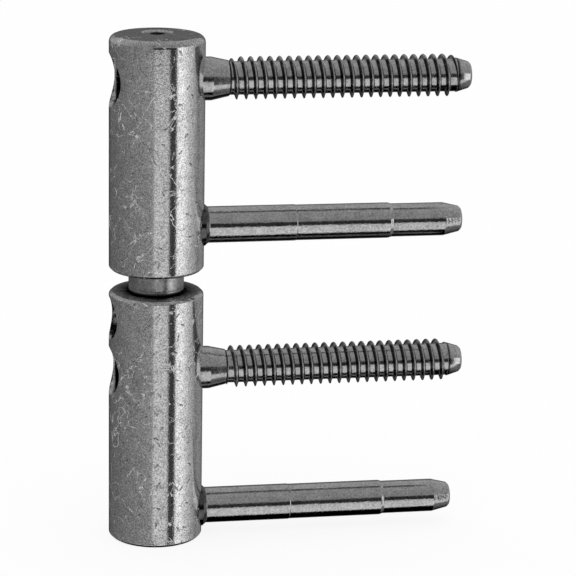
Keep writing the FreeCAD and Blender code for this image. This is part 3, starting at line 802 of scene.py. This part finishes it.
def makeThread(size):
    # one ridge profile spun forward along the core, with fillets at its foot and a rolled crest
    core, crest, half, pitch = size["coreR"], size["crestR"], size["ridgeHalf"], size["pitch"]
    start, sunk = size["ridgeAt"], size["coreR"] + size["ridgeFoot"][0][1]
    side = [(half + a, core + r) for a, r in size["ridgeFoot"]]
    side += [(a, crest + r) for a, r in size["ridgeCrest"]]
    profile = [(-a, r) for a, r in side] + [(0, crest)] + [(a, r) for a, r in reversed(side)]
    bm = bmesh.new()
    corners = [bm.verts.new((start + a, r, 0)) for a, r in profile]
    for corner, following in zip(corners, corners[1:]):
        bm.edges.new((corner, following))
    steps = size["stepsPerTurn"] * size["turns"]
    bmesh.ops.spin(bm, geom=bm.verts[:] + bm.edges[:], cent=(0, 0, 0), axis=(1, 0, 0),
                   dvec=(pitch / size["stepsPerTurn"], 0, 0), angle=2 * math.pi * size["turns"],
                   steps=steps, use_merge=False)

    # the ridge rises out of the core in its first turn and sinks back in its last
    for corner in bm.verts:
        part = math.atan2(corner.co.z, corner.co.y) / (2 * math.pi)
        turn = round((corner.co.x - start) / pitch - part) + part
        grown = max(0, min(1, turn / size["fade"], (size["turns"] - turn) / size["fade"]))
        middle = start + turn * pitch
        radius = math.hypot(corner.co.y, corner.co.z)
        wanted = sunk + (radius - sunk) * grown
        corner.co.x = middle + (corner.co.x - middle) * grown
        corner.co.y *= wanted / radius
        corner.co.z *= wanted / radius
    bmesh.ops.recalc_face_normals(bm, faces=bm.faces[:])
    return bm


def makeScrewStem(name, size):
    reach = size["tipAt"] + size["tipLength"]
    shank, half, tail = size["shankR"], size["grooveHalf"], size["tail"]
    bm = spinProfile([
        (tail, 0),
        (tail, shank - size["tailEdge"]),
        (tail + size["tailEdge"], shank),
        (-half, shank),
        (-half, size["grooveR"]),
        (half, size["grooveR"]),
        (half, shank),
        (size["coneAt"], shank),
        (size["neckAt"], size["neckR"]),
        (size["coreAt"], size["coreR"]),
        (size["tipAt"], size["coreR"]),
        (size["tipAt"] + size["tipStep"], size["tipRootR"]),
        (reach - size["tipCorner"], size["tipR"]),
        (reach, size["tipR"] - size["tipCorner"]),
        (reach, 0)], shaping["shaftSteps"])
    softenEdges(bm, size["edge"], size["softenFrom"])
    piece = meshObject(bm, name)
    drill(piece, hexCutter(size["keySize"], size["keyDepth"], tail))
    joined = bmesh.new()
    joined.from_mesh(piece.data)
    ridge = bpy.data.meshes.new("ridge")
    thread = makeThread(size)
    thread.to_mesh(ridge)
    thread.free()
    joined.from_mesh(ridge)
    bpy.data.meshes.remove(ridge)
    joined.to_mesh(piece.data)
    joined.free()
    piece.data.transform(Matrix.Rotation(math.radians(stemTurns[name]), 4, "X"))
    return piece


finishPiece(makeScrewStem("frameScrewStem", screwStem), "frameScrew", threadSteel,
            "frame_screw", "frame_screw_stem")
finishPiece(makeScrewStem("leafScrewStem", screwStem), "leafScrew", threadSteel,
            "leaf_screw", "leaf_screw_stem")

print("hinge pin and sleeve")

# Heights from the frame knuckle's upper end.
hingePin = {
    "radius": 4.0,
    "dogR": 1.5,
    "dogEnd": -14.05,
    "seat": -11.6,
    "top": 37.0,
    "topEdge": 0.8,
    "edge": 0.15,
}
bearingSleeve = {
    "boreR": 4.05,
    "sleeveR": 5.0,
    "collarR": 5.85,
    "foot": 0.02,
    "shoulder": 4.78,
    "top": 35.4,
    "edge": 0.35,
    "lineUp": 0.95,
    "lineHalf": 0.08,
    "lineDepth": 0.05,
    "softened": 0.05,
}


def makeHingePin(size):
    r, top, slope = size["radius"], size["top"], size["topEdge"]
    bm = spinProfile([
        (size["dogEnd"], 0),
        (size["dogEnd"], size["dogR"]),
        (size["seat"], size["dogR"]),
        (size["seat"], r),
        (top - slope, r),
        (top, r - slope),
        (top, 0)], shaping["shaftSteps"])
    softenEdges(bm, size["edge"])
    standUp(bm)
    return meshObject(bm, "hingePin")


def makeBearingSleeve(size):
    # the collar has a fine turned line just above its foot
    r, edge, line, half = size["collarR"], size["edge"], size["lineUp"], size["lineHalf"]
    bm = spinProfile([
        (size["foot"], size["boreR"]),
        (size["foot"], r - edge),
        (size["foot"] + edge, r),
        (line - half, r),
        (line, r - size["lineDepth"]),
        (line + half, r),
        (size["shoulder"], r),
        (size["shoulder"], size["sleeveR"]),
        (size["top"] - edge, size["sleeveR"]),
        (size["top"], size["sleeveR"] - edge),
        (size["top"], size["boreR"])], shaping["shaftSteps"], closed=True)
    softenEdges(bm, size["softened"])
    standUp(bm)
    return meshObject(bm, "bearingSleeve")


finishPiece(makeHingePin(hingePin), "frameTop", hingePinSteel,
            "frame_part", "hinge_pin")
finishPiece(makeBearingSleeve(bearingSleeve), "frameTop", sleeveSteel,
            "sleeve", "bearing_sleeve")

print("lock screws")

# Stations from the stem's axis upwards, and from the hinge axis outwards to the key's side.
stemLockScrew = {
    "radius": 3.0,
    "dogR": 1.5,
    "dogEnd": 3.35,
    "shoulder": 4.7,
    "face": 9.53,
    "faceEdge": 0.4,
    "keySize": 3.0,
    "keyDepth": 2.4,
    "edge": 0.1,
}
pinLockScrew = {
    "radius": 4.0,
    "flat": 4.02,
    "face": 7.6,
    "faceEdge": 0.4,
    "keySize": 4.0,
    "keyDepth": 2.0,
    "edge": 0.1,
}


def socketAtFace(piece, size):
    # the key's socket, sunk from the face towards the foot
    bm = hexCutter(size["keySize"], size["keyDepth"], -size["face"])
    bmesh.ops.rotate(bm, verts=bm.verts[:], cent=(0, 0, 0),
                     matrix=Matrix.Rotation(math.pi, 3, "Y"))
    drill(piece, bm)


def makeStemLockScrew(size):
    r, slope, face = size["radius"], size["faceEdge"], size["face"]
    bm = spinProfile([
        (size["dogEnd"], 0),
        (size["dogEnd"], size["dogR"]),
        (size["shoulder"], size["dogR"]),
        (size["shoulder"], r),
        (face - slope, r),
        (face, r - slope),
        (face, 0)], shaping["holeSteps"])
    softenEdges(bm, size["edge"])
    piece = meshObject(bm, "stemLockScrew")
    socketAtFace(piece, size)
    piece.data.transform(Matrix.Rotation(-math.pi / 2, 4, "Y"))
    return piece


def makePinLockScrew(size):
    r, slope, face = size["radius"], size["faceEdge"], size["face"]
    bm = spinProfile([
        (size["flat"], 0),
        (size["flat"], r - slope),
        (size["flat"] + slope, r),
        (face - slope, r),
        (face, r - slope),
        (face, 0)], shaping["holeSteps"])
    softenEdges(bm, size["edge"])
    piece = meshObject(bm, "pinLockScrew")
    socketAtFace(piece, size)
    piece.data.transform(Matrix.Rotation(math.pi, 4, "Y"))
    return piece


finishPiece(makeStemLockScrew(stemLockScrew), "leafScrew", lockSteel,
            "leaf_part", "stem_lock_screw")
finishPiece(makePinLockScrew(pinLockScrew), "pinLock", lockSteel,
            "frame_part", "pin_lock_screw")

print("studio")

# What the metal mirrors: levels of grey by the angle in degrees round the hinge, plus to the
# right of the camera's side, and overhead and below by how far in front of the hinge a ray goes.
studio = {
    "floorSize": 3.0,
    "floorPaper": "#f4f4f4",
    "shadowShare": 0.13,
    "softboxSize": 0.9,
    "softboxAt": (0.02, 0, 1.2),
    "softboxPower": 1.0,
    "strength": 1.25,
    "around": ((-180, 0.01), (-168, 0.02), (-155, 0.07), (-140, 0.12), (-116, 0.145),
               (-96, 0.165), (-80, 0.19), (-51, 0.22), (-24, 0.255), (-7, 0.29), (-6, 0.56),
               (24, 0.54), (30, 0.51), (31.5, 0.045), (47, 0.05), (51, 0.93), (66, 0.93),
               (80, 0.63), (96, 0.42), (110, 0.31), (116, 0.20), (130, 0.26), (150, 0.20),
               (168, 0.05), (180, 0.01)),
    "stemsSee": ((-180, 0.0), (-12, 0.0), (-9, 1.0), (36, 1.0), (42, 0.0), (180, 0.0)),
    "stemsDark": ((-90, 0.0), (-10, 0.0), (-7, 1.0), (17, 1.0), (19, 0.0), (90, 0.0)),
    "stemsLevel": 0.02,
    "overhead": ((-1, 0.10), (-0.93, 0.12), (-0.87, 0.33), (0, 0.31), (0.3, 0.26),
                 (0.95, 0.22), (1, 0.22)),
    "overheadLean": -0.17,
    "overheadFrom": (0.12, 0.17),
    "below": ((-1, 0.16), (-0.85, 0.08), (-0.6, 0.0), (0.37, 0.0), (0.41, 0.58), (1, 0.58)),
    "belowFrom": (-0.42, -0.46),
    "belowAside": 0.15,
    "asideFrom": (0.3, 0.55),
    "turn": 97.4,
}


def makeFloor(look):
    bm = bmesh.new()
    bmesh.ops.create_grid(bm, x_segments=1, y_segments=1, size=look["floorSize"] / 2)
    bmesh.ops.translate(bm, verts=bm.verts[:], vec=(0, 0, heights["frameFoot"] * mm))
    floor = meshObject(bm, "paperFloor")
    floor.visible_glossy = False
    material, tree = newTree("whitePaper")
    lit = addNode(tree, "ShaderNodeBsdfDiffuse", {"Color": linear(look["floorPaper"])})
    white = addNode(tree, "ShaderNodeEmission", {"Color": (1, 1, 1, 1), "Strength": 1.0})
    seen = addNode(tree, "ShaderNodeLightPath").outputs["Is Camera Ray"]
    share = addNode(tree, "ShaderNodeMath", {0: seen, 1: 1 - look["shadowShare"]},
                    operation="MULTIPLY")
    mixed = addNode(tree, "ShaderNodeMixShader", {0: share.outputs[0], 1: lit.outputs[0],
                                                  2: white.outputs[0]})
    addNode(tree, "ShaderNodeOutputMaterial", {"Surface": mixed.outputs[0]})
    floor.data.materials.append(material)


def makeWorld(look):
    world = bpy.data.worlds.new("lightTent")
    world.use_nodes = True
    tree = world.node_tree
    tree.nodes.clear()
    way = addNode(tree, "ShaderNodeTexCoord").outputs["Generated"]
    facing = addNode(tree, "ShaderNodeMapping", {
        "Vector": way, "Rotation": (0, 0, math.radians(look["turn"]))})
    split = addNode(tree, "ShaderNodeSeparateXYZ", {0: facing.outputs[0]})
    angle = addNode(tree, "ShaderNodeMath", {0: split.outputs["Y"], 1: split.outputs["X"]},
                    operation="ARCTAN2")
    along = addNode(tree, "ShaderNodeMath", {0: angle.outputs[0], 1: 0.5 / math.pi, 2: 0.5},
                    operation="MULTIPLY_ADD")
    around = addNode(tree, "ShaderNodeValToRGB", {"Fac": along.outputs[0]})
    setRamp(around, [(a / 360 + 0.5, level) for a, level in look["around"]])
    stemsSee = addNode(tree, "ShaderNodeValToRGB", {"Fac": along.outputs[0]})
    setRamp(stemsSee, [(a / 360 + 0.5, level) for a, level in look["stemsSee"]])
    up = addNode(tree, "ShaderNodeMath", {0: split.outputs["Z"], 1: 0.5, 2: 0.5},
                 operation="MULTIPLY_ADD")
    stemsDark = addNode(tree, "ShaderNodeValToRGB", {"Fac": up.outputs[0]})
    setRamp(stemsDark, [(0.5 + 0.5 * math.sin(math.radians(a)), level)
                        for a, level in look["stemsDark"]])
    front = addNode(tree, "ShaderNodeMath", {0: split.outputs["X"], 1: 0.5, 2: 0.5},
                    operation="MULTIPLY_ADD")
    overhead = addNode(tree, "ShaderNodeValToRGB", {"Fac": front.outputs[0]})
    setRamp(overhead, [(x / 2 + 0.5, level) for x, level in look["overhead"]])
    below = addNode(tree, "ShaderNodeValToRGB", {"Fac": front.outputs[0]})
    setRamp(below, [(x / 2 + 0.5, level) for x, level in look["below"]])
    aside = addNode(tree, "ShaderNodeMath", {0: split.outputs["Y"]}, operation="ABSOLUTE")
    farAside = addNode(tree, "ShaderNodeMapRange", {
        "Value": aside.outputs[0], "From Min": look["asideFrom"][0],
        "From Max": look["asideFrom"][1], "To Max": look["belowAside"]})
    ground = addNode(tree, "ShaderNodeMath", {
        0: below.outputs["Color"], 1: farAside.outputs[0]}, operation="MAXIMUM")

    # the dark stands only in the strip that the stems reflect; the overhead part comes down
    # lower behind the hinge than in front of it
    stemsBand = addNode(tree, "ShaderNodeMath", {
        0: stemsSee.outputs["Color"], 1: stemsDark.outputs["Color"]}, operation="MULTIPLY")
    walls = addNode(tree, "ShaderNodeMix", {
        "Factor": stemsBand.outputs[0], 6: around.outputs["Color"],
        7: (*[look["stemsLevel"]] * 3, 1)}, data_type="RGBA")
    leaning = addNode(tree, "ShaderNodeMath", {
        0: split.outputs["X"], 1: look["overheadLean"], 2: split.outputs["Z"]},
        operation="MULTIPLY_ADD")
    above = addNode(tree, "ShaderNodeMapRange", {
        "Value": leaning.outputs[0], "From Min": look["overheadFrom"][0],
        "From Max": look["overheadFrom"][1]})
    roofed = addNode(tree, "ShaderNodeMix", {
        "Factor": above.outputs[0], 6: walls.outputs[2], 7: overhead.outputs["Color"]},
        data_type="RGBA")
    under = addNode(tree, "ShaderNodeMapRange", {
        "Value": split.outputs["Z"], "From Min": look["belowFrom"][0],
        "From Max": look["belowFrom"][1]})
    tent = addNode(tree, "ShaderNodeMix", {
        "Factor": under.outputs[0], 6: roofed.outputs[2], 7: ground.outputs[0]},
        data_type="RGBA")
    paper = addNode(tree, "ShaderNodeBackground", {"Color": (1, 1, 1, 1), "Strength": 1.0})
    mirrored = addNode(tree, "ShaderNodeBackground", {
        "Color": tent.outputs[2], "Strength": look["strength"]})
    rays = addNode(tree, "ShaderNodeLightPath")
    shown = addNode(tree, "ShaderNodeMixShader", {
        0: rays.outputs["Is Glossy Ray"], 1: paper.outputs[0], 2: mirrored.outputs[0]})
    addNode(tree, "ShaderNodeOutputWorld", {"Surface": shown.outputs[0]})
    bpy.context.scene.world = world


def makeSoftbox(look):
    lamp = bpy.data.lights.new("overheadSoftbox", "AREA")
    lamp.shape = "SQUARE"
    lamp.size = look["softboxSize"]
    lamp.energy = look["softboxPower"]
    holder = bpy.data.objects.new("overheadSoftbox", lamp)
    holder.location = look["softboxAt"]
    holder.visible_glossy = False
    bpy.context.scene.collection.objects.link(holder)


makeFloor(studio)
makeWorld(studio)
makeSoftbox(studio)

print("camera")

# Found from the photograph: where it stands, how it tilts, and its long lens.
camera = {
    "place": (-0.07873, -0.52435, 0.19271),
    "down": 15.17,
    "yaw": 10.40,
    "roll": -0.0186,
    "lens": 161.91,
    "sensor": 36,
    "nearest": 0.01,
}


def makeCamera(view):
    data = bpy.data.cameras.new("camera")
    data.sensor_width = view["sensor"]
    data.lens = view["lens"]
    data.clip_start = view["nearest"]
    down, yaw = math.radians(view["down"]), math.radians(view["yaw"])
    ahead = Vector((math.sin(yaw) * math.cos(down), math.cos(yaw) * math.cos(down),
                    -math.sin(down)))
    level = Vector((math.cos(yaw), -math.sin(yaw), 0))
    under = ahead.cross(level)
    right = level * math.cos(view["roll"]) + under * math.sin(view["roll"])
    up = level * math.sin(view["roll"]) - under * math.cos(view["roll"])
    turn = Matrix((right, up, -ahead)).transposed()
    eye = bpy.data.objects.new("camera", data)
    eye.matrix_world = Matrix.Translation(view["place"]) @ turn.to_4x4()
    bpy.context.scene.collection.objects.link(eye)
    bpy.context.scene.camera = eye


makeCamera(camera)
bpy.context.scene.view_settings.view_transform = "Standard"

print("done")
